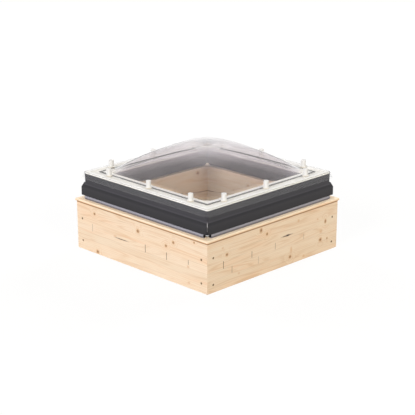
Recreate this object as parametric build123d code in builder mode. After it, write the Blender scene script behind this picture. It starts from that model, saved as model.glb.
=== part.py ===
"""Flat-roof skylight: a timber kerb with a lift-off dome unit.

The dome unit is a hollow PVC frame that carries two blown acrylic skins.
Millimetres, +Z up. The origin is the middle of the kerb's underside.
Each side is called front (-Y), right (+X), back (+Y) or left (-X).
"""

from build123d import *

import os
from math import atan, degrees, radians, tan

os.makedirs("parts", exist_ok=True)

# Timber kerb
kerb_width = 1000.0
wall_height = 270.0
wall_thickness = 50.0
groove_height = 131.0
groove_depth = 1.5
strip_width = 62.0
strip_thickness = 12.0
strip_overhang = 6.0
strip_edge_break = 1.5

# Corner screws, two through each end of each wall
screw_radius = 2.5
screw_head_radius = 5.5
screw_head_depth = 3.5
screw_length = 100.0
screw_hole_clearance = 0.15
screw_socket_radius = 2.6
screw_socket_depth = 2.0
screw_inset = 42.0
screw_low = 50.0
screw_high = 175.0
screw_low_shift = -8.0
screw_high_shift = 9.0

# Tube seals along the top of the kerb
seal_radius = 10.5
seal_wall = 3.2
seal_foot_width = 12.0
seal_inset = 26.0
seal_end_gap = 21.0
seat_clearance = 0.3

# Dome unit: hollow PVC frame
frame_inset = 15.0
frame_height = 118.0
frame_wall = 3.5
frame_corner_radius = 14.0
skirting_height = 44.0
shoulder_height = 25.0
shoulder_inset = 16.0
fascia_lean = 2.0
frame_foot_width = 45.0
ledge_width = 105.0
channel_depth = 34.0
channel_lining = 3.0

# Seat ring let into the top of the frame
ring_thickness = 8.0
ring_clearance = 0.5
ring_inner_radius = 6.0

# Blown acrylic skins: each rises from its rim at a slope and crowns as a sphere,
# which would meet the rim's level at the corner reach outside the rim
outer_skin = 4.0
outer_to_fixings = 28.0
outer_rise = 160.0
outer_corner_reach = 120.0
outer_slope = 35.0
drip_height = 36.0
drip_flare = 14.0
drip_clearance = 1.5
inner_skin = 3.0
inner_lap = 16.0
inner_rise = 95.0
inner_corner_reach = 118.0
inner_slope = 26.0
inner_flange_to_fixings = 14.0
inner_flange_radius = 8.0

# Foam tapes between ring and skins
bed_tape_width = 24.0
bed_tape_thickness = 2.0
bed_tape_edge = 2.0
gap_tape_width = 9.0
gap_tape_thickness = 2.0
gap_tape_edge = 1.5
rim_tape_width = 18.0
rim_tape_edge = 3.0

# Dome fixings, three to a side
fixing_inset = 43.0
fixing_end_inset = 118.0
fixing_radius = 2.5
fixing_length = 46.0
fixing_head_radius = 6.0
fixing_head_height = 4.0
fixing_clearance = 0.3
cap_radius = 14.0
cap_height = 40.0
cap_rim_radius = 17.0
cap_rim_height = 4.0
cap_bore_clearance = 0.3
cap_bore_depth = 12.0

# Threads and small heads are drawn with few flats
shank_sides = 6

# Levels and half widths that follow from the sizes above
kerb_half = kerb_width / 2
strip_outer = kerb_half + strip_overhang
strip_inner = strip_outer - strip_width
strip_top = wall_height + strip_thickness
seal_line = kerb_half - seal_inset
seal_length = 2 * (seal_line - seal_end_gap)
seal_top = strip_top + 2 * seal_radius
frame_half = kerb_half - frame_inset
frame_width = 2 * frame_half
frame_base = seal_top + seat_clearance
shoulder_top = skirting_height + shoulder_height
fascia_height = frame_height - shoulder_top
fascia_half = frame_half - shoulder_inset
crest_half = fascia_half + fascia_lean
crest = frame_base + frame_height
ledge_inner = crest_half - ledge_width
foot_inner = frame_half - frame_foot_width
rebate_half = crest_half - frame_wall
rebate_floor = frame_height - ring_thickness
ring_half = rebate_half - ring_clearance
fixing_line = crest_half - fixing_inset
fixing_pitch = fixing_line - fixing_end_inset
bed_level = crest + bed_tape_thickness
inner_top = bed_level + inner_skin
outer_bottom = inner_top + gap_tape_thickness
outer_top = outer_bottom + outer_skin
outer_half = fixing_line - outer_to_fixings
outer_reach = outer_half + outer_corner_reach
inner_half = ledge_inner + inner_lap
inner_reach = inner_half + inner_corner_reach
inner_flange_half = fixing_line - inner_flange_to_fixings
drip_half = crest_half + drip_clearance + outer_skin
drip_radius = frame_corner_radius + drip_clearance + outer_skin
channel_width = 2 * (fixing_radius + fixing_clearance)

SIDES = ("front", "right", "back", "left")


def save(part, name):
    """Label a finished piece and write its STEP file."""
    part.label = name
    export_step(part, f"parts/{name}.step")


def side_plane(index, height=0.0):
    """XY plane turned so that its own -Y points out of the given side."""
    return Plane.XY.offset(height).rotated((0, 0, 90 * index))


def mitred(outer, inner):
    """Plan outline of one side of a square frame, cut at 45 degrees."""
    return [(-outer, -outer), (outer, -outer), (inner, -inner), (-inner, -inner)]


def corner_screw_seats():
    """Places on the kerb's outer faces where the corner screws go in."""
    seats = []
    for index in range(4):
        turned = index % 2
        low = screw_low + turned * screw_low_shift
        high = screw_high + turned * screw_high_shift
        for along in (-kerb_half + screw_inset, kerb_half - screw_inset):
            for height in (low, high):
                seat = Plane((along, -kerb_half, height), x_dir=(1, 0, 0), z_dir=(0, -1, 0))
                seats.append(Location((0, 0, 0), (0, 0, 90 * index)) * seat.location)
    return seats


def fixing_places(level):
    """Places of the twelve dome fixings, at the given level."""
    places = []
    for index in range(4):
        for along in (-fixing_pitch, 0.0, fixing_pitch):
            place = Location((along, -fixing_line, level))
            places.append(Location((0, 0, 0), (0, 0, 90 * index)) * place)
    return places


def shank(radius, length, grow=0.0):
    """Flat-sided shank that runs down from the origin, grown for its hole."""
    with BuildPart() as body:
        with BuildSketch():
            RegularPolygon(radius + grow, shank_sides)
        extrude(amount=-(length + grow))
    return body.part


def countersunk(grow=0.0):
    """Corner screw at the origin, pointing down, grown for its hole."""
    stem = shank(screw_radius, screw_length, grow)
    with BuildPart() as screw:
        with BuildSketch():
            RegularPolygon(screw_head_radius + grow, shank_sides)
        with BuildSketch(Plane.XY.offset(-screw_head_depth - grow)):
            RegularPolygon(screw_radius + grow, shank_sides)
        loft()
        add(stem)
    return screw.part


def crown(half, slope, rise, reach, level, skin=0.0):
    """Blown crown on a square rim at level, or the hollow a skin below it.

    The flanks leave the rim at slope degrees. The crown is a sphere that would
    meet the rim's level at reach from the middle.
    """
    radius = (reach**2 + rise**2) / (2 * rise)
    foot = half - skin * tan(radians(slope / 2))
    with BuildPart() as body:
        with BuildSketch(Plane.XY.offset(level - skin)):
            Rectangle(2 * foot, 2 * foot)
        extrude(amount=rise, taper=90 - slope)
        with Locations((0, 0, level + rise - radius)):
            Sphere(radius - skin, rotation=(0, 90, 0), mode=Mode.INTERSECT)
    return body.part


# Kerb walls, screwed together at mitred corners
screw_hole = countersunk(screw_hole_clearance)
for index, side in enumerate(SIDES):
    with BuildPart() as wall:
        with BuildSketch(side_plane(index)):
            with BuildLine():
                Polyline(*mitred(kerb_half, kerb_half - wall_thickness), close=True)
            make_face()
        extrude(amount=wall_height)
        with BuildSketch(side_plane(index, groove_height)):
            with Locations((0, -kerb_half + wall_thickness)):
                Rectangle(kerb_width, 2 * groove_depth)
        extrude(amount=groove_depth / 2, both=True, mode=Mode.SUBTRACT)
        with Locations(*corner_screw_seats()):
            add(screw_hole, mode=Mode.SUBTRACT)
    save(wall.part, f"{side}_wall")

# Countersunk screws that draw the mitred corners together
screw_blank = countersunk()
with BuildPart() as plain_screw:
    add(screw_blank)
    with BuildSketch():
        RegularPolygon(screw_socket_radius, 6)
    extrude(amount=-screw_socket_depth, mode=Mode.SUBTRACT)
with BuildPart() as corner_screws:
    with Locations(*corner_screw_seats()):
        add(plain_screw.part)
save(corner_screws.part, "corner_screws")

# Capping laths on top of the walls
for index, side in enumerate(SIDES):
    with BuildPart() as strip:
        with BuildSketch(side_plane(index, wall_height)):
            with BuildLine():
                Polyline(*mitred(strip_outer, strip_inner), close=True)
            make_face()
        extrude(amount=strip_thickness)
        top = strip.faces().sort_by(Axis.Z)[-1]
        chamfer(top.edges().sort_by(Edge.length)[-2:], strip_edge_break)
    save(strip.part, f"{side}_strip")

# Rubber tube seals, cut short of the corners
for index, side in enumerate(SIDES):
    middle = Plane((0, -seal_line, strip_top), x_dir=(0, 1, 0), z_dir=(1, 0, 0))
    with BuildPart() as seal:
        with BuildSketch(middle):
            with Locations((0, seal_radius)):
                Circle(seal_radius)
            with Locations((0, seal_radius / 4)):
                Rectangle(seal_foot_width, seal_radius / 2)
            with Locations((0, seal_radius)):
                Circle(seal_radius - seal_wall, mode=Mode.SUBTRACT)
        extrude(amount=seal_length / 2, both=True)
    save(seal.part.rotate(Axis.Z, 90 * index), f"{side}_seal")

# Hollow PVC frame with welded corners
with BuildPart() as dome_frame:
    with BuildSketch(Plane.XY.offset(frame_base)):
        RectangleRounded(frame_width, frame_width, frame_corner_radius)
    extrude(amount=skirting_height)
    with BuildSketch(Plane.XY.offset(frame_base + skirting_height)):
        RectangleRounded(frame_width, frame_width, frame_corner_radius)
    extrude(amount=shoulder_height, taper=degrees(atan(shoulder_inset / shoulder_height)))
    with BuildSketch(Plane.XY.offset(crest)):
        RectangleRounded(2 * crest_half, 2 * crest_half, frame_corner_radius)
    extrude(amount=shoulder_top - frame_height, taper=degrees(atan(fascia_lean / fascia_height)))
    # Light well, narrower at the top than at the foot
    with BuildSketch(Plane.XY.offset(frame_base)):
        Rectangle(2 * foot_inner, 2 * foot_inner)
    with BuildSketch(Plane.XY.offset(frame_base + rebate_floor)):
        Rectangle(2 * ledge_inner, 2 * ledge_inner)
    loft(mode=Mode.SUBTRACT)
    # Rebate for the seat ring
    with BuildSketch(Plane.XY.offset(frame_base + rebate_floor)):
        RectangleRounded(2 * rebate_half, 2 * rebate_half, frame_corner_radius - frame_wall)
    extrude(amount=ring_thickness, mode=Mode.SUBTRACT)
    # Chambers of the extrusion and its open screw channel
    with BuildLine() as frame_run:
        Polyline(
            (0, -frame_half, frame_base),
            (frame_half, -frame_half, frame_base),
            (frame_half, frame_half, frame_base),
            (-frame_half, frame_half, frame_base),
            (-frame_half, -frame_half, frame_base),
            close=True,
        )
    section = Plane((0, 0, frame_base), x_dir=(0, -1, 0), z_dir=(-1, 0, 0))
    with BuildSketch(section) as chambers:
        with BuildLine():
            Polyline(
                (foot_inner, 0),
                (frame_half, 0),
                (frame_half, skirting_height),
                (fascia_half, shoulder_top),
                (rebate_half, rebate_floor),
                (ledge_inner, rebate_floor),
                close=True,
            )
        make_face()
        offset(amount=-frame_wall, kind=Kind.INTERSECTION, mode=Mode.REPLACE)
        with Locations((frame_half, skirting_height)):
            Rectangle(2 * frame_half, frame_wall, mode=Mode.SUBTRACT)
        with Locations((fixing_line, rebate_floor)):
            Rectangle(
                channel_width + 2 * channel_lining,
                2 * (channel_depth + channel_lining),
                mode=Mode.SUBTRACT,
            )
            Rectangle(channel_width, 2 * channel_depth)
    sweep(path=frame_run.line, transition=Transition.RIGHT, mode=Mode.SUBTRACT)
save(dome_frame.part, "dome_frame")

# Seat ring for both skins
fixing_hole = shank(fixing_radius, fixing_length, fixing_clearance)
with BuildPart() as seat_ring:
    with BuildSketch(Plane.XY.offset(frame_base + rebate_floor)):
        RectangleRounded(2 * ring_half, 2 * ring_half, frame_corner_radius - frame_wall)
        RectangleRounded(2 * ledge_inner, 2 * ledge_inner, ring_inner_radius, mode=Mode.SUBTRACT)
    extrude(amount=ring_thickness)
    with Locations(*fixing_places(crest)):
        add(fixing_hole, mode=Mode.SUBTRACT)
save(seat_ring.part, "seat_ring")

# Foam tapes: under the inner skin, between the skins and along the rim
with BuildPart() as bed_tape:
    with BuildSketch(Plane.XY.offset(crest)):
        Rectangle(
            2 * (inner_flange_half - bed_tape_edge),
            2 * (inner_flange_half - bed_tape_edge),
        )
        Rectangle(
            2 * (inner_flange_half - bed_tape_edge - bed_tape_width),
            2 * (inner_flange_half - bed_tape_edge - bed_tape_width),
            mode=Mode.SUBTRACT,
        )
    extrude(amount=bed_tape_thickness)
save(bed_tape.part, "bed_tape")

with BuildPart() as gap_tape:
    with BuildSketch(Plane.XY.offset(inner_top)):
        Rectangle(
            2 * (inner_flange_half - gap_tape_edge),
            2 * (inner_flange_half - gap_tape_edge),
        )
        Rectangle(
            2 * (inner_flange_half - gap_tape_edge - gap_tape_width),
            2 * (inner_flange_half - gap_tape_edge - gap_tape_width),
            mode=Mode.SUBTRACT,
        )
    extrude(amount=gap_tape_thickness)
save(gap_tape.part, "gap_tape")

with BuildPart() as rim_tape:
    with BuildSketch(Plane.XY.offset(crest)):
        RectangleRounded(
            2 * (ring_half - rim_tape_edge),
            2 * (ring_half - rim_tape_edge),
            frame_corner_radius - frame_wall,
        )
        Rectangle(
            2 * (ring_half - rim_tape_edge - rim_tape_width),
            2 * (ring_half - rim_tape_edge - rim_tape_width),
            mode=Mode.SUBTRACT,
        )
    extrude(amount=outer_bottom - crest)
save(rim_tape.part, "rim_tape")

# Inner skin: shallow crown on a flat flange
inner_shape = (inner_half, inner_slope, inner_rise, inner_reach, inner_top)
inner_crown = crown(*inner_shape)
inner_hollow = crown(*inner_shape, skin=inner_skin)
with BuildPart() as inner_dome:
    with BuildSketch(Plane.XY.offset(bed_level)):
        RectangleRounded(2 * inner_flange_half, 2 * inner_flange_half, inner_flange_radius)
    extrude(amount=inner_skin)
    add(inner_crown)
    add(inner_hollow, mode=Mode.SUBTRACT)
save(inner_dome.part, "inner_dome")

# Outer skin: tall crown with a turned-down, flared drip edge
outer_shape = (outer_half, outer_slope, outer_rise, outer_reach, outer_top)
outer_crown = crown(*outer_shape)
outer_hollow = crown(*outer_shape, skin=outer_skin)
flare = degrees(atan(drip_flare / drip_height))
with BuildPart() as outer_dome:
    with BuildSketch(Plane.XY.offset(outer_top)):
        RectangleRounded(2 * drip_half, 2 * drip_half, drip_radius)
    extrude(amount=-drip_height, taper=-flare)
    with BuildSketch(Plane.XY.offset(outer_bottom)):
        RectangleRounded(
            2 * (drip_half - outer_skin),
            2 * (drip_half - outer_skin),
            drip_radius - outer_skin,
        )
    extrude(amount=-drip_height, taper=-flare, mode=Mode.SUBTRACT)
    add(outer_crown)
    add(outer_hollow, mode=Mode.SUBTRACT)
    with Locations(*fixing_places(outer_top)):
        add(fixing_hole, mode=Mode.SUBTRACT)
save(outer_dome.part, "outer_dome")

# Hexagon-head screws through the outer skin into the frame's channel
fixing_shank = shank(fixing_radius, fixing_length)
with BuildPart() as fixing_screw:
    add(fixing_shank)
    with BuildSketch():
        RegularPolygon(fixing_head_radius, 6)
    extrude(amount=fixing_head_height)
with BuildPart() as fixing_screws:
    with Locations(*fixing_places(outer_top)):
        add(fixing_screw.part)
save(fixing_screws.part, "fixing_screws")

# Tall rimmed caps pushed over the screw heads
with BuildPart() as fixing_cap:
    with BuildSketch():
        Circle(cap_rim_radius)
    extrude(amount=cap_rim_height, taper=degrees(atan((cap_rim_radius - cap_radius) / cap_rim_height)))
    with BuildSketch():
        Circle(cap_radius)
    extrude(amount=cap_height)
    with BuildSketch():
        RegularPolygon(fixing_head_radius + cap_bore_clearance, 6)
    extrude(amount=cap_bore_depth, mode=Mode.SUBTRACT)
with BuildPart() as fixing_caps:
    with Locations(*fixing_places(outer_top)):
        add(fixing_cap.part)
save(fixing_caps.part, "fixing_caps")
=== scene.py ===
"""Looks of the roof skylight: a timber kerb with a clear dome unit set down on it.

Metres, +Z up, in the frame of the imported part: front is -Y, right +X, back +Y and left -X.
"""

from math import atan2, cos, hypot, pi, radians, sin, sqrt, tan
from typing import NamedTuple

import bmesh
import bpy
from mathutils import Matrix, Vector


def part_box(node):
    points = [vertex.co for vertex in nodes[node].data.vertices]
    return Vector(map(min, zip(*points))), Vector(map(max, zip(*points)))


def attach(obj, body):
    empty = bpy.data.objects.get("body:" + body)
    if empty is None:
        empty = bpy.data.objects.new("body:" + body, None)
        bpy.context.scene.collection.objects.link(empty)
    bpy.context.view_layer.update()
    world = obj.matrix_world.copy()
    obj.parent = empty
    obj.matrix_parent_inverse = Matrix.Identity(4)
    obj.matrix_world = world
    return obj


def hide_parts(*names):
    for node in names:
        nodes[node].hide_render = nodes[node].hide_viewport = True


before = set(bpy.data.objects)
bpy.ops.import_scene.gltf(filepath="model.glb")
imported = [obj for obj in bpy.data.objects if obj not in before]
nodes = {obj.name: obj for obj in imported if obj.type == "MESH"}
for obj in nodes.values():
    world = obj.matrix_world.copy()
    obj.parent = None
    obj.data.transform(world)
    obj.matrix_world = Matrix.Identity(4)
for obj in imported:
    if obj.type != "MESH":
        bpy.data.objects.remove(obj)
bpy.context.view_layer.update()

SIDES = ("front", "right", "back", "left")

# Camera: a compromise between the views that fit the photograph's kerb and its dome unit
IMAGE_SIZE = 415.0
CAMERA_AZIMUTH = 45.0
CAMERA_ELEVATION = 19.8
CAMERA_DISTANCE = 7.0
CAMERA_REACH = 200.0
FOCAL_PIXELS = 1274.0
SENSOR_WIDTH = 36.0
TARGET_PIXEL = (207.3, 246.8)

# Angles in degrees from which an edge is shaded sharp, and from which the walls' edges are eased
CAD_SHARP_ANGLE = 25.0
PIECE_SHARP_ANGLE = 40.0
EASED_ANGLE = 35.0

# Studio
FLOOR_SIZE = 60.0
FLOOR_ALBEDO = 0.95
FLOOR_BOUNCE = 0.40
FLOOR_GLOW = 0.90
WORLD_LIGHT = 0.18
WORLD_COLOUR = (0.97, 0.98, 1.0, 1.0)
LAMP_ELEVATION = 24.0
LAMP_SOFTNESS = 30.0
LAMP_DISTANCE = 8.0
# Soft lamps, one to each side: (name, azimuth, strength, colour)
LAMPS = [
    ("front_lamp", 4.0, 2.62, (1.0, 0.98, 0.96)),
    ("right_lamp", 84.0, 1.90, (1.0, 0.930, 0.775)),
    ("back_lamp", 184.0, 1.90, (1.0, 0.98, 0.96)),
    ("left_lamp", 264.0, 1.70, (1.0, 0.97, 0.92)),
]

# Kerb
wall_low, wall_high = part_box("front_wall")
KERB_HALF = -wall_low.y
WALL_THICKNESS = wall_high.y - wall_low.y
EASED_EDGE = 0.0005
GROOVE_HEIGHT = 0.131
STRIP_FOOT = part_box("front_strip")[0].z

# Tube seals
seal_low, seal_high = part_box("front_seal")
SEAL_RADIUS = 0.0105
SEAL_LINE = -(seal_low.y + seal_high.y) / 2
SEAL_AXIS = seal_high.z - SEAL_RADIUS

# Corner screws
SCREW_INSET = 0.042
# In the front and back walls, then in the right and left walls
SCREW_HEIGHTS = ((0.050, 0.175), (0.042, 0.184))
SCREW_HEAD = 0.0052
SCREW_RIM = 0.0060
SCREW_SEGMENTS = 36

# Dome frame
frame_low, frame_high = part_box("dome_frame")
FRAME_FOOT = frame_low.z
FRAME_TOP = frame_high.z
# Outer corner line and foot of the painted highlight down each outer corner
FRAME_CORNER = 0.476
HIGHLIGHT_FOOT = FRAME_FOOT + 0.0147
WELL_EDGE = 0.400
# Painted light up the light well's walls, from this height to the top
WELL_PAINTED_LIGHT = (0.270, 0.262, 0.290, 1.0)
WELL_LIGHT_FOOT = FRAME_FOOT + 0.030

# Fixing caps
CAP_LINE = 0.428
CAP_PITCH = 0.310
CAP_FOOT = 0.0036
CAP_SEGMENTS = 40


class BlownSkin(NamedTuple):
    """Skin with a spherical crown, on flanks that rise from a rounded square."""

    half: float
    plan_corner: float
    slope: float
    rise: float
    reach: float
    thickness: float
    tint: tuple


# Skins of the dome unit: reach is how far from the middle the crown would come down to the flange
OUTER = BlownSkin(
    half=0.400,
    plan_corner=0.105,
    slope=radians(35.0),
    rise=0.160,
    reach=0.520,
    thickness=0.004,
    tint=(0.835, 0.805, 0.835, 1.0),
)
INNER = BlownSkin(
    half=0.382,
    plan_corner=0.095,
    slope=radians(26.0),
    rise=0.095,
    reach=0.500,
    thickness=0.003,
    tint=(0.825, 0.808, 0.780, 1.0),
)
SHOULDER_BLEND = 0.045
FOOT_BLEND = 0.014
OCTANT_STEPS = 22
CORNER_CROWDING = 1.7
CROWN_RINGS = 46
CROWN_ROUNDNESS = 0.98

# Turned-down edge of the outer skin, and the inner skin's flat flange
DRIP_HALF = 0.4765
DRIP_HEIGHT = 0.036
DRIP_FLARE = 0.014
DRIP_CORNER = 0.0195
DRIP_BEND = 0.007
DRIP_BEND_STEPS = 6
DRIP_EDGE_STEPS = 4
INNER_FLANGE = 0.414
INNER_FLANGE_CORNER = 0.008

# Clear acrylic
SKIN_IOR = 1.22
HAZE = 0.005
MOST_HAZE = 0.35
VEIL = 0.7
LIT_THROUGH = (0.94, 0.93, 0.94, 1.0)


class Material:
    """A node material, built one node at a time."""

    def __init__(self, name):
        self.data = bpy.data.materials.new(name)
        self.data.use_nodes = True
        self.tree = self.data.node_tree
        self.tree.nodes.clear()

    def feed(self, socket, value):
        """Links a socket into another, or sets its value."""
        if isinstance(value, bpy.types.NodeSocket):
            self.tree.links.new(value, socket)
        else:
            socket.default_value = value

    def add(self, kind, inputs=None, **settings):
        node = self.tree.nodes.new("ShaderNode" + kind)
        for name, value in settings.items():
            setattr(node, name, value)
        for name, value in (inputs or {}).items():
            self.feed(node.inputs[name], value)
        return node

    def math(self, operation, *values):
        node = self.add("Math", operation=operation)
        for socket, value in zip(node.inputs, values):
            self.feed(socket, value)
        return node.outputs[0]

    def vector_math(self, operation, *values):
        node = self.add("VectorMath", operation=operation)
        for socket, value in zip(node.inputs, values):
            self.feed(socket, value)
        return node.outputs["Value" if operation == "LENGTH" else "Vector"]

    def step(self, value, low, high, start=0.0, end=1.0):
        """Rises smoothly from start to end as value goes from low to high."""
        node = self.add("MapRange", interpolation_type="SMOOTHSTEP")
        names = ("Value", "From Min", "From Max", "To Min", "To Max")
        for name, number in zip(names, (value, low, high, start, end)):
            self.feed(node.inputs[name], number)
        return node.outputs[0]

    def blend(self, factor, below, above, kind="MIX"):
        """Lays one colour over another."""
        node = self.add("Mix", data_type="RGBA", blend_type=kind, clamp_factor=True)
        for index, value in ((0, factor), (6, below), (7, above)):
            self.feed(node.inputs[index], value)
        return node.outputs[2]

    def noise(self, vector, scale, detail=3.0, roughness=0.5, distortion=0.0):
        inputs = {
            "Vector": vector,
            "Scale": scale,
            "Detail": detail,
            "Roughness": roughness,
            "Distortion": distortion,
        }
        return self.add("TexNoise", inputs).outputs["Fac"]

    def ramp(self, factor, *stops):
        """Colour ramp with a (place, colour) pair for each stop."""
        node = self.add("ValToRGB", {"Fac": factor})
        points = node.color_ramp.elements
        while len(points) < len(stops):
            points.new(0.5)
        for point, (place, colour) in zip(points, stops):
            point.position = place
            point.color = colour
        return node.outputs["Color"]

    def place(self):
        """Position in the part's frame at rest, as a vector and as its three numbers."""
        vector = self.add("TexCoord").outputs["Object"]
        return vector, *self.add("SeparateXYZ", {"Vector": vector}).outputs

    def mixed(self, factor, below, above):
        """Mixes two numbers."""
        inputs = {0: factor, 2: below, 3: above}
        return self.add("Mix", inputs, data_type="FLOAT").outputs[0]

    def layered(self, factor, below, above):
        """Mixes two shaders."""
        return self.add("MixShader", {0: factor, 1: below, 2: above}).outputs[0]

    def scaled(self, vector, x, y, z):
        return self.vector_math("MULTIPLY", vector, (x, y, z))

    def bump(self, height, strength, distance):
        inputs = {"Height": height, "Strength": strength, "Distance": distance}
        return self.add("Bump", inputs).outputs["Normal"]

    def finish(self, shader, **sockets):
        """Ends the material in a Principled shader, or in the shader given."""
        if shader is None:
            shader = self.add("BsdfPrincipled").outputs[0]
        for name, value in sockets.items():
            self.feed(shader.node.inputs[name.replace("_", " ")], value)
        self.feed(self.add("OutputMaterial").inputs["Surface"], shader)
        return self.data


def grey(value):
    """Opaque grey of one value."""
    return (value, value, value, 1.0)


# Pine
EARLY_WOOD = (0.925, 0.735, 0.550, 1.0)
LATE_WOOD = (0.820, 0.530, 0.310, 1.0)
WARM_WOOD = (0.920, 0.610, 0.390, 1.0)
FLAME_WOOD = (0.680, 0.400, 0.190, 1.0)
PALE_WOOD = (0.945, 0.790, 0.610, 1.0)
KNOT_CORE = (0.160, 0.075, 0.035, 1.0)
KNOT_RIM = (0.080, 0.036, 0.018, 1.0)
KNOT_HALO = (0.700, 0.400, 0.190, 1.0)
PITCH = (0.018, 0.014, 0.012, 1.0)
GLUE_LINE = (0.130, 0.065, 0.030, 1.0)
# Painted shade at the foot of the strips' outer edge
STRIP_PAINTED_SHADE = (0.620, 0.330, 0.150, 1.0)
# Painted shadow under the strips
PAINTED_STRIP_SHADOW = (0.300, 0.145, 0.055, 1.0)
# Painted shade on the outer faces, and painted light on each inner face
OUTER_PAINTED_SHADE = (0.930, 0.950, 0.985, 1.0)
INNER_PAINTED_LIGHT = {
    "front": (1.000, 1.000, 1.000, 1.0),
    "right": (1.000, 1.020, 1.000, 1.0),
    "back": (1.000, 1.110, 1.120, 1.0),
    "left": (1.020, 1.060, 1.000, 1.0),
}
COOL_BOARD = (0.93, 0.91, 0.87, 1.0)
WARM_BOARD = (1.0, 0.955, 0.90, 1.0)
LAMELLA = 0.042
FIRST_LAMELLA = 0.024

# Marks on the walls: knots, faint knots and resin pockets as (along, height, half length,
# half height), and finger joints as (along, low, high, darkness)
OUTER_MARKS = {
    "front": {
        "knots": [
            (-0.355, 0.224, 0.008, 0.007),
            (-0.337, 0.014, 0.010, 0.009),
            (-0.009, 0.211, 0.011, 0.010),
            (0.203, 0.184, 0.008, 0.008),
            (0.257, 0.215, 0.008, 0.008),
            (0.407, 0.252, 0.006, 0.005),
        ],
        "faint": [
            (0.364, 0.113, 0.009, 0.008),
            (0.369, 0.029, 0.008, 0.007),
            (-0.190, 0.139, 0.012, 0.006),
        ],
        "pockets": [(-0.140, 0.133, 0.050, 0.0022)],
        "joints": [
            (-0.375, 0.119, 0.164, 0.5),
            (0.046, 0.108, 0.152, 1.0),
            (0.206, 0.108, 0.150, 1.0),
            (0.365, 0.124, 0.150, 0.9),
        ],
    },
    "right": {
        "knots": [
            (-0.361, 0.177, 0.008, 0.008),
            (-0.111, 0.244, 0.009, 0.012),
            (-0.065, 0.213, 0.007, 0.008),
            (0.118, 0.041, 0.010, 0.009),
            (0.363, 0.076, 0.011, 0.010),
            (0.401, 0.172, 0.008, 0.011),
            (0.419, 0.071, 0.005, 0.006),
        ],
        "faint": [
            (-0.391, 0.220, 0.007, 0.006),
            (-0.273, 0.055, 0.008, 0.006),
            (0.126, 0.078, 0.009, 0.020),
            (0.180, 0.228, 0.009, 0.009),
            (0.227, 0.018, 0.010, 0.008),
            (0.336, 0.199, 0.007, 0.006),
            (0.366, 0.122, 0.012, 0.010),
        ],
        "pockets": [(0.091, 0.167, 0.040, 0.0030), (0.096, 0.167, 0.017, 0.0052)],
        "joints": [
            (-0.386, 0.108, 0.150, 1.0),
            (-0.324, 0.070, 0.108, 0.7),
            (-0.178, 0.112, 0.150, 0.9),
            (-0.128, 0.066, 0.108, 0.4),
            (0.000, 0.112, 0.150, 0.6),
            (0.224, 0.112, 0.145, 0.4),
        ],
    },
    "back": {
        "knots": [
            (-0.310, 0.080, 0.009, 0.008),
            (-0.120, 0.205, 0.008, 0.007),
            (0.085, 0.052, 0.010, 0.009),
            (0.330, 0.190, 0.011, 0.010),
        ],
        "faint": [(-0.220, 0.240, 0.008, 0.007), (0.205, 0.128, 0.009, 0.007)],
        "pockets": [(0.160, 0.222, 0.030, 0.0024)],
        "joints": [
            (-0.265, 0.108, 0.150, 0.8),
            (-0.040, 0.108, 0.150, 0.9),
            (0.140, 0.066, 0.108, 0.5),
            (0.280, 0.108, 0.150, 0.8),
        ],
    },
    "left": {
        "knots": [
            (-0.365, 0.205, 0.009, 0.008),
            (-0.150, 0.060, 0.010, 0.009),
            (0.060, 0.235, 0.007, 0.007),
            (0.255, 0.095, 0.009, 0.009),
            (0.395, 0.230, 0.008, 0.008),
        ],
        "faint": [(-0.040, 0.130, 0.009, 0.007), (0.170, 0.030, 0.008, 0.007)],
        "pockets": [(-0.240, 0.168, 0.032, 0.0024)],
        "joints": [
            (-0.310, 0.108, 0.150, 0.9),
            (-0.085, 0.108, 0.150, 0.7),
            (0.115, 0.108, 0.150, 0.9),
            (0.340, 0.066, 0.108, 0.5),
        ],
    },
}
INNER_MARKS = {
    "front": {
        "knots": [(-0.280, 0.200, 0.011, 0.010), (0.150, 0.075, 0.009, 0.008)],
        "faint": [(0.010, 0.225, 0.009, 0.008), (0.320, 0.185, 0.008, 0.008)],
        "pockets": [],
        "joints": [(0.200, 0.068, 0.125, 0.7)],
    },
    "right": {
        "knots": [(-0.100, 0.185, 0.010, 0.010), (0.270, 0.225, 0.010, 0.009)],
        "faint": [(-0.330, 0.090, 0.009, 0.008)],
        "pockets": [(0.090, 0.195, 0.035, 0.0025)],
        "joints": [(-0.170, 0.068, 0.125, 0.7)],
    },
    "back": {
        "knots": [
            (-0.121, 0.221, 0.007, 0.007),
            (0.130, 0.198, 0.014, 0.012),
            (-0.234, 0.172, 0.005, 0.005),
        ],
        "faint": [(-0.051, 0.098, 0.012, 0.010), (0.300, 0.235, 0.008, 0.008)],
        "pockets": [],
        "joints": [(-0.125, 0.075, 0.125, 0.8)],
    },
    "left": {
        "knots": [(0.372, 0.250, 0.011, 0.011), (-0.024, 0.198, 0.014, 0.013)],
        "faint": [(-0.200, 0.100, 0.010, 0.008), (0.180, 0.160, 0.008, 0.007)],
        "pockets": [(-0.130, 0.176, 0.060, 0.0030)],
        "joints": [],
    },
}


def nearest_knot(wood, flat, knots):
    """Distance to the nearest knot's middle, in that knot's own half sizes."""
    nearest = 10.0
    for along, height, half_length, half_height in knots:
        scale = (1 / half_length, 1 / half_height, 0.0)
        shift = (-along / half_length, -height / half_height, 0.0)
        distance = wood.vector_math("LENGTH", wood.vector_math("MULTIPLY_ADD", flat, scale, shift))
        nearest = wood.math("MINIMUM", nearest, distance)
    return nearest


def joint_lines(wood, along, height, joints):
    """Darkness of the finger joints, each a thin upright line of small teeth."""
    tooth = wood.math("PINGPONG", height, 0.0035)
    ragged = wood.math("MULTIPLY_ADD", tooth, 0.30, along)
    darkness = 0.0
    for place, low, high, strength in joints:
        aside = wood.math("ABSOLUTE", wood.math("SUBTRACT", ragged, place + 0.0008))
        line = wood.step(aside, 0.0013, 0.0026, strength, 0.0)
        half = (high - low) / 2
        reach = wood.math("ABSOLUTE", wood.math("SUBTRACT", height, low + half))
        line = wood.math("MULTIPLY", line, wood.step(reach, half - 0.002, half, 1.0, 0.0))
        darkness = wood.math("MAXIMUM", darkness, line)
    return darkness


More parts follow.
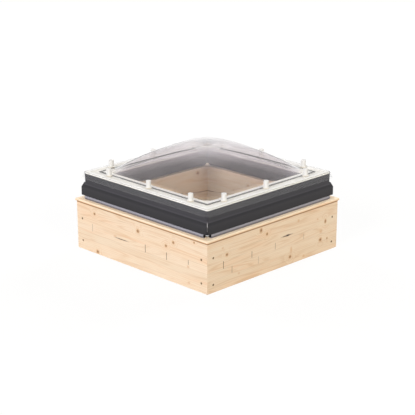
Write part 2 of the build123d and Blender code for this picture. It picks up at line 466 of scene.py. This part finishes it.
def grain(wood, vector, along_axis, row_seed, closest):
    """Grain of a board, each part from 0 to 1: rings, broad streaks, fibres and cathedral lines.

    closest is the distance to the nearest knot, round which the grain bends.
    """
    stretch = {"X": (1.0, 6.0, 6.0), "Y": (6.0, 1.0, 6.0)}[along_axis]
    shifted = wood.vector_math("ADD", wood.scaled(vector, *stretch), row_seed)
    bend = wood.step(closest, 0.9, 3.4, 0.05, 0.0)
    shifted = wood.vector_math("ADD", shifted, wood.add("CombineXYZ", {"Z": bend}).outputs[0])
    inputs = {
        "Vector": shifted,
        "Scale": 5.5,
        "Distortion": 5.0,
        "Detail": 3.0,
        "Detail Scale": 0.9,
        "Detail Roughness": 0.55,
    }
    rings = wood.add("TexWave", inputs, bands_direction="Z", wave_profile="SAW").outputs["Fac"]
    streaks = wood.noise(shifted, 2.4, 4.0, 0.55, 0.6)
    fibres = wood.noise(wood.scaled(shifted, 2.0, 2.0, 12.0), 9.0, 4.0, 0.6)
    # Cathedral lines: contours of a slow field that swells round each knot
    longer = {"X": (0.55, 1.0, 1.0), "Y": (1.0, 0.55, 1.0)}[along_axis]
    slow = wood.vector_math("MULTIPLY_ADD", shifted, longer, (7.3, 2.1, 4.7))
    field = wood.math("MULTIPLY", wood.noise(slow, 1.5, 2.0, 0.45), 15.0)
    field = wood.math("ADD", field, wood.step(closest, 0.5, 5.0, 2.2, 0.0))
    contour = wood.step(wood.math("PINGPONG", field, 0.5), 0.02, 0.30, 1.0, 0.0)
    flames = wood.math("MULTIPLY", contour, wood.step(streaks, 0.30, 0.60))
    return rings, streaks, fibres, flames


def fibre_tone(wood, fibres):
    """Slight darkening between the fibres."""
    return wood.ramp(fibres, (0.30, grey(0.88)), (0.65, grey(1.0)))


def knot_colours(wood, colour, closest, faint):
    """Lays a halo, a ring and a core over the wood, by distance from the knot."""
    halo = wood.step(closest, 0.7, 1.9, 0.70, 0.0)
    colour = wood.blend(halo, colour, KNOT_HALO)
    core = wood.ramp(
        closest,
        (0.0, KNOT_RIM),
        (0.30, KNOT_CORE),
        (0.50, KNOT_HALO),
        (0.70, KNOT_CORE),
    )
    colour = wood.blend(wood.step(closest, 0.55, 0.95, 0.92, 0.0), colour, core)
    soft = wood.step(faint, 0.2, 1.5, 0.60, 0.0)
    return wood.blend(soft, colour, KNOT_HALO)


def face_marks(wood, side, outside, vector, along, height):
    """Distances to the nearest knot, faint knot and resin pocket, and the joints' darkness.

    They are the outer face's where outside is 1, and else the inner face's.
    """
    flat = wood.add("CombineXYZ", {"X": along, "Y": height}).outputs[0]
    rough = wood.add("TexNoise", {"Vector": vector, "Scale": 160.0, "Detail": 2.0}).outputs["Color"]
    ragged = wood.vector_math("MULTIPLY_ADD", rough, (0.006, 0.005, 0.0), flat)
    ragged = wood.vector_math("SUBTRACT", ragged, (0.003, 0.0025, 0.0))
    fields = []
    for kind in ("knots", "faint", "pockets"):
        outer = nearest_knot(wood, ragged, OUTER_MARKS[side][kind])
        inner = nearest_knot(wood, ragged, INNER_MARKS[side][kind])
        fields.append(wood.mixed(outside, inner, outer))
    outer_joints = joint_lines(wood, along, height, OUTER_MARKS[side]["joints"])
    inner_joints = joint_lines(wood, along, height, INNER_MARKS[side]["joints"])
    return *fields, wood.mixed(outside, inner_joints, outer_joints)


def board_lines(wood, colour, vector, z, outside):
    """Lays glue lines, a painted shadow in the inner groove and a painted shadow under the strip
    over the wood.
    """
    # Glue lines between lamellas come and go
    to_line = wood.math("PINGPONG", wood.math("SUBTRACT", z, FIRST_LAMELLA), LAMELLA / 2)
    patchy = wood.step(wood.noise(wood.scaled(vector, 1.0, 1.0, 4.0), 7.0), 0.45, 0.70, 0.0, 0.22)
    line = wood.math("MULTIPLY", wood.step(to_line, 0.0004, 0.0014, 1.0, 0.0), patchy)
    colour = wood.blend(line, colour, GLUE_LINE)
    groove = wood.math("ABSOLUTE", wood.math("SUBTRACT", z, GROOVE_HEIGHT))
    groove = wood.step(groove, 0.0012, 0.0034, 0.85, 0.0)
    dark = wood.math("MULTIPLY", groove, wood.math("SUBTRACT", 1.0, outside))
    colour = wood.blend(dark, colour, KNOT_RIM)
    # Painted shadow of the overhanging strip, along the top of each outer face
    strip_shadow = wood.step(z, STRIP_FOOT - 0.010, STRIP_FOOT - 0.006, 0.0, 0.90)
    return wood.blend(wood.math("MULTIPLY", strip_shadow, outside), colour, PAINTED_STRIP_SHADOW)


def pine_panel(side, seed):
    """Edge-glued, finger-jointed pine panel of one wall."""
    wood = Material(f"pine_{side}_wall")
    vector, x, y, z = wood.place()
    axis = "X" if side in ("front", "back") else "Y"
    along, depth = (x, y) if axis == "X" else (y, x)
    middle = KERB_HALF - WALL_THICKNESS / 2
    outside = wood.math("GREATER_THAN", wood.math("ABSOLUTE", depth), middle)

    # Each lamella has its own tone and its own run of grain
    row = wood.math("SUBTRACT", z, FIRST_LAMELLA)
    row = wood.math("FLOOR", wood.math("DIVIDE", row, LAMELLA))
    row_key = wood.math("ADD", row, seed)
    row_noise = wood.add("TexWhiteNoise", {"W": row_key}, noise_dimensions="1D")
    row_value = row_noise.outputs["Value"]
    row_seed = wood.scaled(row_noise.outputs["Color"], 20.0, 20.0, 20.0)

    closest, faint, pocket, joints = face_marks(wood, side, outside, vector, along, z)
    rings, streaks, fibres, flames = grain(wood, vector, axis, row_seed, closest)
    late = wood.step(rings, 0.55, 1.0, 0.0, 0.42)
    colour = wood.blend(late, EARLY_WOOD, LATE_WOOD)
    colour = wood.blend(wood.step(streaks, 0.50, 0.72, 0.0, 0.45), colour, WARM_WOOD)
    colour = wood.blend(wood.step(streaks, 0.32, 0.48, 0.40, 0.0), colour, PALE_WOOD)
    colour = wood.blend(wood.math("MULTIPLY", flames, 0.34), colour, FLAME_WOOD)
    colour = wood.blend(0.5, colour, fibre_tone(wood, fibres), "MULTIPLY")
    tone = wood.ramp(row_value, (0.0, COOL_BOARD), (0.5, grey(1.0)), (1.0, WARM_BOARD))
    colour = wood.blend(0.50, colour, tone, "MULTIPLY")

    colour = knot_colours(wood, colour, closest, faint)
    colour = wood.blend(wood.step(pocket, 0.5, 1.5, 0.85, 0.0), colour, KNOT_CORE)
    colour = wood.blend(wood.step(pocket, 0.4, 1.0, 0.95, 0.0), colour, PITCH)
    colour = wood.blend(wood.math("MULTIPLY", joints, 0.90), colour, GLUE_LINE)
    colour = board_lines(wood, colour, vector, z, outside)
    # Painted shade makes the outer faces a little darker and greyer, and painted light gives each
    # inner face a tone of its own
    painted_face_light = wood.blend(outside, INNER_PAINTED_LIGHT[side], OUTER_PAINTED_SHADE)
    colour = wood.blend(1.0, colour, painted_face_light, "MULTIPLY")

    relief = wood.math("MULTIPLY_ADD", late, -0.8, fibres)
    relief = wood.math("SUBTRACT", relief, wood.math("MULTIPLY", joints, 2.0))
    return wood.finish(
        None,
        Base_Color=colour,
        Roughness=wood.step(fibres, 0.3, 0.7, 0.62, 0.50),
        Normal=wood.bump(relief, 0.25, 0.0006),
    )


def pine_lath(side, seed):
    """Planed lath, paler than the walls, with straight grain and painted shade along the foot of
    its outer edge.
    """
    wood = Material(f"pine_{side}_strip")
    vector, x, y, z = wood.place()
    axis, depth = ("X", y) if side in ("front", "back") else ("Y", x)
    offset = wood.vector_math("ADD", vector, (seed, seed * 2.0, seed * 3.0))
    rings, streaks, fibres, _ = grain(wood, offset, axis, (0.0, 0.0, 0.0), 10.0)
    colour = wood.blend(wood.step(rings, 0.5, 1.0, 0.0, 0.35), PALE_WOOD, LATE_WOOD)
    colour = wood.blend(wood.step(streaks, 0.50, 0.75, 0.0, 0.5), colour, WARM_WOOD)
    colour = wood.blend(0.45, colour, fibre_tone(wood, fibres), "MULTIPLY")
    # Painted shade along the lowest few millimetres of the strip's overhanging outer edge
    outer = wood.step(wood.math("ABSOLUTE", depth), KERB_HALF + 0.0025, KERB_HALF + 0.0050)
    lower = wood.step(z, STRIP_FOOT + 0.0015, STRIP_FOOT + 0.0045, 0.85, 0.0)
    colour = wood.blend(wood.math("MULTIPLY", outer, lower), colour, STRIP_PAINTED_SHADE)
    return wood.finish(
        None,
        Base_Color=colour,
        Roughness=wood.step(fibres, 0.3, 0.7, 0.60, 0.48),
        Normal=wood.bump(fibres, 0.2, 0.0005),
    )


def from_axes(material, x, y):
    """Distance from the middle of a square plan, and distance along its side."""
    ends = material.math("ABSOLUTE", x), material.math("ABSOLUTE", y)
    return material.math("MAXIMUM", *ends), material.math("MINIMUM", *ends)


def seal_rubber():
    """Speckled rubber, with painted light along its top and painted shade on its inner flank."""
    rubber = Material("seal_rubber")
    vector, x, y, z = rubber.place()
    specks = rubber.noise(vector, 900.0, 2.0)
    clouds = rubber.noise(vector, 9.0, 3.0)
    base = rubber.blend(clouds, (0.130, 0.130, 0.165, 1.0), (0.180, 0.180, 0.220, 1.0))
    # Painted light: a lighter band along the top of the tube
    top = SEAL_AXIS - 0.3 * SEAL_RADIUS, SEAL_AXIS + 0.6 * SEAL_RADIUS
    base = rubber.blend(rubber.step(z, *top, 0.0, 0.85), base, (0.380, 0.375, 0.440, 1.0))
    # Painted shade: a dark band on the flank that faces the middle of the kerb
    across, _ = from_axes(rubber, x, y)
    flank = SEAL_LINE - 0.4 * SEAL_RADIUS, SEAL_LINE + 0.1 * SEAL_RADIUS
    base = rubber.blend(rubber.step(across, *flank, 0.9, 0.0), base, (0.045, 0.040, 0.040, 1.0))
    return rubber.finish(
        None,
        Base_Color=base,
        Roughness=rubber.step(clouds, 0.3, 0.7, 0.34, 0.46),
        Normal=rubber.bump(specks, 0.15, 0.0003),
    )


def anthracite_pvc():
    """Satin extruded PVC with drawn lines and a fine weld at each corner; painted light and shade
    in bands along its height, painted light up the light well's walls and a painted highlight down
    each outer corner.
    """
    pvc = Material("anthracite_pvc")
    vector, x, y, z = pvc.place()
    across, nearer = from_axes(pvc, x, y)
    lines = pvc.noise(pvc.scaled(vector, 1.0, 1.0, 60.0), 6.0, 3.0)
    clouds = pvc.noise(vector, 5.0, 3.0)
    base = pvc.blend(clouds, (0.020, 0.0195, 0.0235, 1.0), (0.026, 0.0250, 0.0305, 1.0))
    # Painted light and shade in bands up the frame, along the skirting and the shoulder
    painted_light_bands = pvc.ramp(
        pvc.step(z, FRAME_FOOT, FRAME_TOP),
        (0.00, grey(0.80)),
        (0.16, grey(1.00)),
        (0.30, grey(1.15)),
        (0.40, grey(0.78)),
        (0.47, grey(0.85)),
        (0.52, grey(2.20)),
        (0.58, grey(1.60)),
        (1.00, grey(1.80)),
    )
    base = pvc.blend(1.0, base, painted_light_bands, "MULTIPLY")
    # Painted light: the light well's walls are paler towards the top, standing in for light that
    # the skins scatter into the well
    inside = pvc.step(across, WELL_EDGE - 0.005, WELL_EDGE + 0.005, 1.0, 0.0)
    well_light = pvc.math("MULTIPLY", inside, pvc.step(z, WELL_LIGHT_FOOT, FRAME_TOP))
    base = pvc.blend(well_light, base, WELL_PAINTED_LIGHT)
    # Each corner has a dark weld line, and outside it a pale strip that is a painted highlight down
    # the outer corner
    apart = pvc.math("SUBTRACT", pvc.math("ABSOLUTE", x), pvc.math("ABSOLUTE", y))
    apart = pvc.math("ABSOLUTE", apart)
    weld = pvc.step(apart, 0.0004, 0.0011, 1.0, 0.0)
    base = pvc.blend(pvc.math("MULTIPLY", weld, 0.5), base, grey(0.015))
    painted_highlight = pvc.step(apart, 0.0012, 0.0024, 1.0, 0.0)
    painted_highlight = pvc.math("MULTIPLY", painted_highlight, pvc.step(nearer, FRAME_CORNER - 0.006, FRAME_CORNER))
    painted_highlight = pvc.math("MULTIPLY", painted_highlight, pvc.step(z, HIGHLIGHT_FOOT, HIGHLIGHT_FOOT + 0.008))
    base = pvc.blend(pvc.math("MULTIPLY", painted_highlight, 0.8), base, (0.46, 0.45, 0.48, 1.0))
    relief = pvc.math("MULTIPLY_ADD", weld, -1.5, lines)
    return pvc.finish(
        None,
        Base_Color=base,
        Roughness=pvc.step(lines, 0.3, 0.7, 0.30, 0.42),
        Specular_IOR_Level=0.25,
        Normal=pvc.bump(relief, 0.10, 0.0006),
    )


def white_pvc():
    """White ring, with cream streaks along each side."""
    pvc = Material("white_pvc")
    _, x, y, _ = pvc.place()
    across, along = from_axes(pvc, x, y)
    run = pvc.add("CombineXYZ", {"X": pvc.math("MULTIPLY", across, 40.0), "Y": along}).outputs[0]
    streaks = pvc.noise(run, 3.0, 3.0)
    cream = pvc.step(streaks, 0.45, 0.70)
    return pvc.finish(
        None,
        Base_Color=pvc.blend(cream, (0.870, 0.858, 0.832, 1.0), (0.825, 0.792, 0.725, 1.0)),
        Roughness=pvc.step(streaks, 0.3, 0.7, 0.28, 0.40),
        Normal=pvc.bump(streaks, 0.05, 0.0005),
    )


def foam(name, low, high):
    """Closed-cell foam tape."""
    tape = Material(name)
    cells = tape.noise(tape.place()[0], 700.0, 3.0, 0.7)
    return tape.finish(
        None,
        Base_Color=tape.blend(cells, grey(low), grey(high)),
        Roughness=0.85,
        Normal=tape.bump(cells, 0.4, 0.0005),
    )


def clear_acrylic(name, flange_top, tint):
    """Clear acrylic that lets lamp light through: its blown part is faintly tinted."""
    clear = Material(name)
    vector, _, _, z = clear.place()
    blown = clear.step(z, flange_top + 0.002, flange_top + 0.012)
    smears = clear.noise(vector, 4.0, 4.0, 0.6, 0.4)
    inputs = {
        "Base Color": clear.blend(blown, grey(0.99), tint),
        "Roughness": clear.step(smears, 0.45, 0.80, 0.0, 0.035),
        "IOR": SKIN_IOR,
        "Transmission Weight": 1.0,
    }
    glass = clear.add("BsdfPrincipled", inputs).outputs[0]
    facing = clear.add("LayerWeight", {"Blend": 0.5}).outputs["Facing"]
    flat_angle = clear.math("POWER", facing, 4.0)

    # A dust film hides more where it is seen at a flat angle
    dust = clear.add("BsdfDiffuse", {"Color": (0.90, 0.90, 0.93, 1.0)}).outputs[0]
    film = clear.step(smears, 0.30, 0.75, HAZE * 0.6, HAZE * 1.4)
    film = clear.math("DIVIDE", film, clear.math("SUBTRACT", 1.05, facing))
    amount = clear.math("MULTIPLY", blown, clear.math("MINIMUM", film, MOST_HAZE))
    skin = clear.layered(amount, glass, dust)
    # The skin mirrors more of its surroundings at a flat angle
    mirror = clear.add("BsdfGlossy", {"Color": grey(1.0), "Roughness": 0.08}).outputs[0]
    veil = clear.math("MULTIPLY", clear.math("MULTIPLY", flat_angle, VEIL), blown)
    skin = clear.layered(veil, skin, mirror)

    # The turned-down edge shows as a bare sheet, with a faint gloss
    lit = clear.blend(blown, grey(0.99), LIT_THROUGH)
    through = clear.add("BsdfTransparent", {"Color": lit}).outputs[0]
    gloss = clear.add("BsdfGlossy", {"Color": grey(1.0), "Roughness": 0.12}).outputs[0]
    sheet = clear.layered(clear.math("MULTIPLY_ADD", flat_angle, 0.5, 0.02), through, gloss)
    edge = clear.step(z, flange_top - 0.0050, flange_top - 0.0022, 1.0, 0.0)
    skin = clear.layered(edge, skin, sheet)

    # Light for other surfaces passes straight through
    ray = clear.add("LightPath").outputs
    passing = clear.math("MAXIMUM", ray["Is Shadow Ray"], ray["Is Diffuse Ray"])
    return clear.finish(clear.layered(passing, skin, through))


def metal(name, low, high, roughness):
    """Plated or plain steel with fine scratches."""
    steel = Material(name)
    scratches = steel.noise(steel.place()[0], 500.0, 3.0)
    return steel.finish(
        None,
        Base_Color=steel.blend(scratches, low, high),
        Metallic=1.0,
        Roughness=steel.step(scratches, 0.3, 0.7, roughness, roughness + 0.15),
        Normal=steel.bump(scratches, 0.1, 0.0002),
    )


def cap_plastic(base_level):
    """White moulded plastic over a cream foot washer."""
    plastic = Material("cap_plastic")
    vector, _, _, z = plastic.place()
    clouds = plastic.noise(vector, 60.0, 2.0)
    white = plastic.blend(clouds, (0.640, 0.640, 0.650, 1.0), (0.700, 0.700, 0.705, 1.0))
    foot_top = base_level + CAP_FOOT
    foot = plastic.step(z, foot_top, foot_top + 0.001, 1.0, 0.0)
    base = plastic.blend(foot, white, (0.660, 0.620, 0.550, 1.0))
    return plastic.finish(
        None,
        Base_Color=base,
        Roughness=plastic.step(clouds, 0.3, 0.7, 0.34, 0.46),
        Normal=plastic.bump(plastic.noise(vector, 1500.0, 2.0), 0.08, 0.0002),
    )


def link_object(name, data):
    """Puts a new object into the scene."""
    piece = bpy.data.objects.new(name, data)
    bpy.context.scene.collection.objects.link(piece)
    return piece


def dress(node, material):
    """Gives a CAD node its material and soft-shaded round faces."""
    mesh = nodes[node].data
    if mesh.materials:
        mesh.materials[0] = material
    else:
        mesh.materials.append(material)
    mesh.shade_smooth()
    mesh.set_sharp_from_angle(angle=radians(CAD_SHARP_ANGLE))


def ease_edges(node):
    """Breaks a CAD node's sharp edges, so that they catch the light."""
    bevel = nodes[node].modifiers.new("eased edges", "BEVEL")
    bevel.width = EASED_EDGE
    bevel.segments = 2
    bevel.limit_method = "ANGLE"
    bevel.angle_limit = radians(EASED_ANGLE)
    bevel.harden_normals = False


def new_piece(name, mesh, material, body, replaced):
    """Puts a mesh into the scene, as a piece that rides on a body in place of a CAD node."""
    mesh.materials.append(material)
    mesh.shade_smooth()
    mesh.set_sharp_from_angle(angle=radians(PIECE_SHARP_ANGLE))
    piece = link_object(name, mesh)
    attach(piece, body)
    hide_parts(replaced)
    return piece


def made_mesh(name, sheet):
    """Turns a finished bmesh into a mesh."""
    mesh = bpy.data.meshes.new(name)
    sheet.to_mesh(mesh)
    sheet.free()
    return mesh


def loop_angles():
    """Angles round a square plan, closer together near its corners."""
    angles = []
    for octant in range(8):
        for index in range(OCTANT_STEPS):
            part = index / OCTANT_STEPS
            if octant % 2 == 0:
                part = 1 - (1 - part) ** CORNER_CROWDING
            else:
                part = part**CORNER_CROWDING
            angles.append((octant + part) * pi / 4)
    return angles


def plan_point(angle, half, corner):
    """Point of a rounded square's outline in the given direction."""
    turned = (angle + pi / 4) % (pi / 2) - pi / 4
    run = abs(tan(turned)) * half
    if run <= half - corner:
        radius = half / cos(turned)
    else:
        middle = half - corner
        toward = middle * (cos(turned) + sin(abs(turned)))
        radius = toward + sqrt(max(toward**2 - 2 * middle**2 + corner**2, 0.0))
    return radius * cos(angle), radius * sin(angle)


def smooth_min(a, b, blend):
    """The lower of two heights, with a rounded change from one to the other."""
    share = min(max(0.5 + 0.5 * (b - a) / blend, 0.0), 1.0)
    return b * (1 - share) + a * share - blend * share * (1 - share)


def blown_height(x, y, skin):
    """Height of a blown skin above its flange."""
    radius = (skin.reach**2 + skin.rise**2) / (2 * skin.rise)
    out_x = abs(x) - skin.half + skin.plan_corner
    out_y = abs(y) - skin.half + skin.plan_corner
    past_corner = hypot(max(out_x, 0.0), max(out_y, 0.0))
    outside = past_corner + min(max(out_x, out_y), 0.0) - skin.plan_corner
    flank = -outside * tan(skin.slope)
    crown = skin.rise - radius + sqrt(radius**2 - x * x - y * y)
    height = smooth_min(flank, crown, SHOULDER_BLEND)
    return -smooth_min(-height, 0.0, FOOT_BLEND)


def blown_skin(name, level, skin, rim):
    """Blown skin with its flange: rings of a square plan that grow from the top outwards.

    rim is a list of (half width, corner radius, height above the flange's top).
    """
    angles = loop_angles()
    sheet = bmesh.new()
    top = sheet.verts.new((0.0, 0.0, level + skin.rise))
    rings = []
    flange_half, flange_corner, _ = rim[0]
    for index in range(1, CROWN_RINGS + 1):
        size = flange_half * index / CROWN_RINGS
        roundness = CROWN_ROUNDNESS * (1 - (index / CROWN_RINGS) ** 3)
        corner = max(size * roundness, min(size, flange_corner))
        ring = []
        for angle in angles:
            x, y = plan_point(angle, size, corner)
            ring.append(sheet.verts.new((x, y, level + blown_height(x, y, skin))))
        rings.append(ring)
    for size, corner, height in rim[1:]:
        points = (plan_point(angle, size, corner) for angle in angles)
        rings.append([sheet.verts.new((x, y, level + height)) for x, y in points])
    count = len(angles)
    for index in range(count):
        following = (index + 1) % count
        sheet.faces.new((top, rings[0][index], rings[0][following]))
        for inner, outer in zip(rings, rings[1:]):
            sheet.faces.new((inner[index], outer[index], outer[following], inner[following]))
    sheet.normal_update()
    return made_mesh(name, sheet)


def thicken(piece, thickness):
    """Adds the skin's underside and closes its edge."""
    solid = piece.modifiers.new("skin thickness", "SOLIDIFY")
    solid.thickness = thickness
    solid.offset = -1.0
    solid.use_even_offset = True


def drip_rim():
    """Flange edge of the outer skin: it bends down and flares outwards."""
    lean = atan2(DRIP_FLARE, DRIP_HEIGHT)
    half, corner = DRIP_HALF - DRIP_BEND, DRIP_CORNER - DRIP_BEND
    rim = [(half, corner, 0.0)]
    for step in range(1, DRIP_BEND_STEPS + 1):
        turn = (pi / 2 - lean) * step / DRIP_BEND_STEPS
        out = DRIP_BEND * sin(turn)
        rim.append((half + out, corner + out, DRIP_BEND * (cos(turn) - 1)))
    half, corner, height = rim[-1]
    for step in range(1, DRIP_EDGE_STEPS + 1):
        down = (DRIP_HEIGHT + height) * step / DRIP_EDGE_STEPS
        out = down * tan(lean)
        rim.append((half + out, corner + out, height - down))
    return rim


def make_skin(side, skin, rim):
    """Makes the outer or inner skin, in place of its CAD node."""
    node = f"{side}_dome"
    flange_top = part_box(node)[1].z - skin.rise
    mesh = blown_skin(f"{side}_skin", flange_top, skin, rim)
    material = clear_acrylic(f"clear_acrylic_{side}", flange_top, skin.tint)
    piece = new_piece(f"{side}_skin", mesh, material, "dome_unit", node)
    thicken(piece, skin.thickness)


def revolved(sheet, profile, segments, place, hexagons=()):
    """Adds a closed turned form: profile is (radius, height) pairs from the foot to the top.

    hexagons holds the indexes of the profile's points whose loop is a hexagon.
    """
    loops = []
    for index, (radius, height) in enumerate(profile):
        loop = []
        for step in range(segments):
            angle = 2 * pi * step / segments
            reach = radius
            if index in hexagons:
                reach = radius * cos(pi / 6) / cos((angle % (pi / 3)) - pi / 6)
            point = Vector((reach * cos(angle), reach * sin(angle), height))
            loop.append(sheet.verts.new(place @ point))
        loops.append(loop)
    for lower, upper in zip(loops, loops[1:]):
        for step in range(segments):
            following = (step + 1) % segments
            sheet.faces.new((lower[step], lower[following], upper[following], upper[step]))
    sheet.faces.new(loops[0][::-1])
    sheet.faces.new(loops[-1])


# Radius and height of each point, from the foot washer to the rimmed top
CAP_PROFILE = [
    (0.0160, 0.0000),
    (0.0168, 0.0003),
    (0.0170, 0.0010),
    (0.0170, 0.0030),
    (0.0167, 0.0037),
    (0.0160, 0.0041),
    (0.0148, 0.0045),
    (0.0141, 0.0054),
    (0.0139, 0.0070),
    (0.0136, 0.0370),
    (0.0133, 0.0386),
    (0.0126, 0.0396),
    (0.0115, 0.0400),
    (0.0060, 0.0400),
    (0.0055, 0.0396),
    (0.0010, 0.0394),
]


def make_caps():
    """Twelve turned caps, three to a side."""
    base_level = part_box("fixing_caps")[0].z
    sheet = bmesh.new()
    for quarter in range(4):
        turn = Matrix.Rotation(quarter * pi / 2, 4, "Z")
        for along in (-CAP_PITCH, 0.0, CAP_PITCH):
            place = turn @ Matrix.Translation((along, -CAP_LINE, base_level))
            revolved(sheet, CAP_PROFILE, CAP_SEGMENTS, place)
    mesh = made_mesh("fixing_cap_set", sheet)
    material = cap_plastic(base_level)
    new_piece("fixing_cap_set", mesh, material, "dome_unit", "fixing_caps")


# Radius and height of each point, from the shank to the floor of the socket
SCREW_PROFILE = [
    (0.0020, -0.0300),
    (0.0024, -0.0060),
    (SCREW_HEAD - 0.0004, -0.0006),
    (SCREW_RIM, 0.00005),
    (SCREW_RIM - 0.0002, 0.00020),
    (SCREW_HEAD, 0.00015),
    (SCREW_HEAD - 0.0003, -0.0002),
    (0.0026, -0.0003),
    (0.0025, -0.0022),
    (0.0004, -0.0024),
]
SCREW_SOCKET_LOOPS = (7, 8)


def make_screw_heads():
    """Countersunk screws with a hexagon socket, two through each end of each wall."""
    sheet = bmesh.new()
    outwards = Matrix.Rotation(pi / 2, 4, "X")
    for quarter in range(4):
        turn = Matrix.Rotation(quarter * pi / 2, 4, "Z")
        for along in (SCREW_INSET - KERB_HALF, KERB_HALF - SCREW_INSET):
            for height in SCREW_HEIGHTS[quarter % 2]:
                face = Matrix.Translation((along, -KERB_HALF, height)) @ outwards
                revolved(sheet, SCREW_PROFILE, SCREW_SEGMENTS, turn @ face, SCREW_SOCKET_LOOPS)
    mesh = made_mesh("corner_screw_set", sheet)
    material = metal("zinc_steel", (0.21, 0.14, 0.08, 1.0), (0.30, 0.21, 0.12, 1.0), 0.45)
    new_piece("corner_screw_set", mesh, material, "kerb", "corner_screws")


def dress_kerb():
    """Materials and finer pieces of the timber kerb."""
    rubber = seal_rubber()
    for index, side in enumerate(SIDES):
        dress(f"{side}_wall", pine_panel(side, 17.0 * index + 3.0))
        ease_edges(f"{side}_wall")
        dress(f"{side}_strip", pine_lath(side, 5.0 * index + 1.0))
        dress(f"{side}_seal", rubber)
    make_screw_heads()


def dress_dome_unit():
    """Materials and finer pieces of the dome unit."""
    dress("dome_frame", anthracite_pvc())
    dress("seat_ring", white_pvc())
    white = foam("white_foam", 0.74, 0.84)
    dress("bed_tape", white)
    dress("rim_tape", white)
    dress("gap_tape", foam("grey_foam", 0.07, 0.12))
    dress("fixing_screws", metal("stainless_steel", grey(0.50), grey(0.62), 0.25))
    make_skin("outer", OUTER, drip_rim())
    make_skin("inner", INNER, [(INNER_FLANGE, INNER_FLANGE_CORNER, 0.0)])
    make_caps()


def seen_directly(material):
    """1 for rays that show the background: straight, in a reflection or through a clear skin."""
    ray = material.add("LightPath").outputs
    direct = material.math("MAXIMUM", ray["Is Camera Ray"], ray["Is Glossy Ray"])
    return material.math("MAXIMUM", direct, ray["Is Transmission Ray"])


def make_floor():
    """White floor that keeps the skylight's shadow."""
    floor = Material("studio_floor")
    direct = seen_directly(floor)
    colour = floor.blend(direct, grey(FLOOR_BOUNCE), grey(FLOOR_ALBEDO))
    white = floor.add("BsdfDiffuse", {"Color": colour}).outputs[0]
    glow = floor.add("Emission", {"Color": grey(1.0), "Strength": 1.0}).outputs[0]
    share = floor.math("MULTIPLY", direct, FLOOR_GLOW)
    mesh = bpy.data.meshes.new("studio_floor")
    half = FLOOR_SIZE / 2
    corners = [(-half, -half, 0.0), (half, -half, 0.0), (half, half, 0.0), (-half, half, 0.0)]
    mesh.from_pydata(corners, [], [(0, 1, 2, 3)])
    mesh.materials.append(floor.finish(floor.layered(share, white, glow)))
    link_object("studio_floor", mesh)


def make_world():
    """White surroundings, which light the object at a lower level than they show."""
    world = bpy.data.worlds.new("studio")
    bpy.context.scene.world = world
    world.use_nodes = True
    tree = world.node_tree
    tree.nodes.clear()
    ray = tree.nodes.new("ShaderNodeLightPath").outputs
    lit = tree.nodes.new("ShaderNodeBackground")
    lit.inputs["Color"].default_value = WORLD_COLOUR
    lit.inputs["Strength"].default_value = WORLD_LIGHT
    shown = tree.nodes.new("ShaderNodeBackground")
    shown.inputs["Color"].default_value = grey(1.0)
    shown.inputs["Strength"].default_value = 1.0
    mix = tree.nodes.new("ShaderNodeMixShader")
    tree.links.new(ray["Is Diffuse Ray"], mix.inputs[0])
    tree.links.new(shown.outputs[0], mix.inputs[1])
    tree.links.new(lit.outputs[0], mix.inputs[2])
    tree.links.new(mix.outputs[0], tree.nodes.new("ShaderNodeOutputWorld").inputs["Surface"])


def stand_off(holder, azimuth, elevation, distance):
    """Stands a lamp or camera away from the origin, looking at it."""
    turn, rise = radians(azimuth), radians(elevation)
    toward = Vector((sin(turn) * cos(rise), -cos(turn) * cos(rise), sin(rise)))
    holder.location = toward * distance
    holder.rotation_mode = "QUATERNION"
    holder.rotation_quaternion = toward.to_track_quat("Z", "Y")


def make_lamp(name, azimuth, strength, colour):
    """Soft distant lamp that shines from the given side."""
    lamp = bpy.data.lights.new(name, "SUN")
    lamp.energy = strength
    lamp.angle = radians(LAMP_SOFTNESS)
    lamp.color = colour
    holder = link_object(name, lamp)
    stand_off(holder, azimuth, LAMP_ELEVATION, LAMP_DISTANCE)
    # The surroundings, not the lamps, show in the clear skins
    holder.visible_glossy = False
    holder.visible_transmission = False


def make_camera():
    """Camera at the photograph's viewing angle."""
    camera = bpy.data.cameras.new("camera")
    camera.sensor_width = SENSOR_WIDTH
    camera.lens = FOCAL_PIXELS * SENSOR_WIDTH / IMAGE_SIZE
    camera.shift_x = (IMAGE_SIZE / 2 - TARGET_PIXEL[0]) / IMAGE_SIZE
    camera.shift_y = (TARGET_PIXEL[1] - IMAGE_SIZE / 2) / IMAGE_SIZE
    camera.clip_end = CAMERA_REACH
    holder = link_object("camera", camera)
    stand_off(holder, CAMERA_AZIMUTH, CAMERA_ELEVATION, CAMERA_DISTANCE)
    bpy.context.scene.camera = holder


dress_kerb()
dress_dome_unit()
make_floor()
make_world()
for lamp in LAMPS:
    make_lamp(*lamp)
make_camera()
bpy.context.scene.view_settings.view_transform = "Standard"
